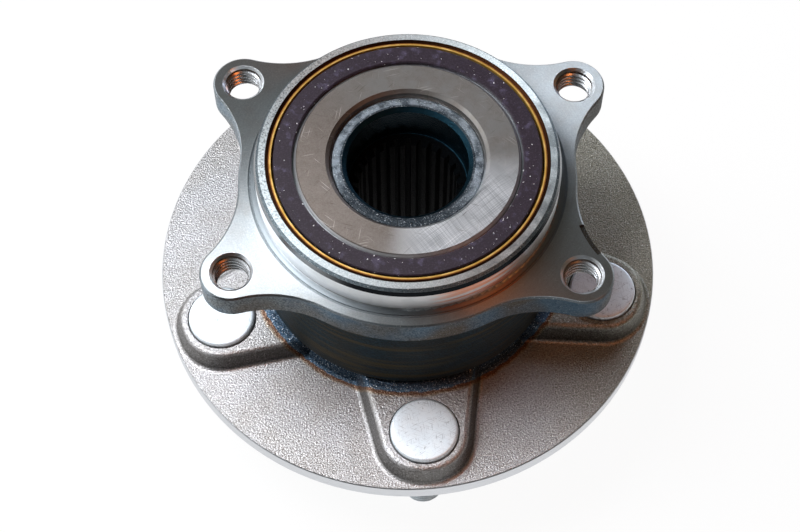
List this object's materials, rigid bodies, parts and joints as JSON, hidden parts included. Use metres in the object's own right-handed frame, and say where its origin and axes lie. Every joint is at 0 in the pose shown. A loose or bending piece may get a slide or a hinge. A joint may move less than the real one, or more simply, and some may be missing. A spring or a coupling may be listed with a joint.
{
  "type": "wheel hub bearing",
  "caption": "Driven wheel hub bearing unit: flanged outer ring for the knuckle, turning hub flange with splined bore and pressed wheel studs, caged ball rows and an encoder seal.",
  "frame": {"origin": "centre of the wheel bolt circle, on the face of the hub flange that the brake disc seats on", "axes": "+Z along the axle towards the knuckle, +X along the longer side of the knuckle bolt rectangle, +Y along its shorter side"},
  "size_m": [0.1436, 0.1436, 0.0906],
  "materials": {
    "machined_steel": "turned",
    "forged_steel": "shot blasted",
    "ground_steel": "ground",
    "pressed_steel": "rolled sheet",
    "encoder_rubber": "moulded, satin",
    "yellow_plated_steel": "yellow passivated",
    "seal_rubber": "moulded",
    "cage_nylon": "moulded",
    "ball_steel": "polished",
    "zinc_plated_steel": "zinc plated"
  },
  "bodies": {
    "outer": {"outer_ring": "machined_steel", "inboard_seal_case": "yellow_plated_steel", "inboard_seal_lip": "seal_rubber", "outboard_seal_case": "pressed_steel", "outboard_seal_lip": "seal_rubber"},
    "hub": {"hub_flange": "forged_steel", "inner_ring": "ground_steel", "slinger": "pressed_steel", "encoder_ring": "encoder_rubber", "wheel_stud_1": "zinc_plated_steel", "wheel_stud_2": "zinc_plated_steel", "wheel_stud_3": "zinc_plated_steel", "wheel_stud_4": "zinc_plated_steel", "wheel_stud_5": "zinc_plated_steel"},
    "inboard_row": {"inboard_cage": "cage_nylon", "inboard_ball_1": "ball_steel", "inboard_ball_2": "ball_steel", "inboard_ball_3": "ball_steel", "inboard_ball_4": "ball_steel", "inboard_ball_5": "ball_steel", "inboard_ball_6": "ball_steel", "inboard_ball_7": "ball_steel", "inboard_ball_8": "ball_steel", "inboard_ball_9": "ball_steel", "inboard_ball_10": "ball_steel", "inboard_ball_11": "ball_steel", "inboard_ball_12": "ball_steel", "inboard_ball_13": "ball_steel", "inboard_ball_14": "ball_steel"},
    "outboard_row": {"outboard_cage": "cage_nylon", "outboard_ball_1": "ball_steel", "outboard_ball_2": "ball_steel", "outboard_ball_3": "ball_steel", "outboard_ball_4": "ball_steel", "outboard_ball_5": "ball_steel", "outboard_ball_6": "ball_steel", "outboard_ball_7": "ball_steel", "outboard_ball_8": "ball_steel", "outboard_ball_9": "ball_steel", "outboard_ball_10": "ball_steel", "outboard_ball_11": "ball_steel", "outboard_ball_12": "ball_steel", "outboard_ball_13": "ball_steel", "outboard_ball_14": "ball_steel"}
  },
  "joints": [
    {"name": "hub_spin", "type": "hinge", "parent": "outer", "child": "hub", "pos_m": [0, 0, 0], "axis": [0, 0, 1], "continuous": true},
    {"name": "inboard_row_spin", "type": "hinge", "parent": "outer", "child": "inboard_row", "pos_m": [0, 0, 0.0485], "axis": [0, 0, 1], "continuous": true},
    {"name": "outboard_row_spin", "type": "hinge", "parent": "outer", "child": "outboard_row", "pos_m": [0, 0, 0.027], "axis": [0, 0, 1], "continuous": true}
  ],
  "couplings": [
    {"joint": "inboard_row_spin", "follows": "hub_spin", "ratio": 0.431},
    {"joint": "outboard_row_spin", "follows": "hub_spin", "ratio": 0.431}
  ]
}
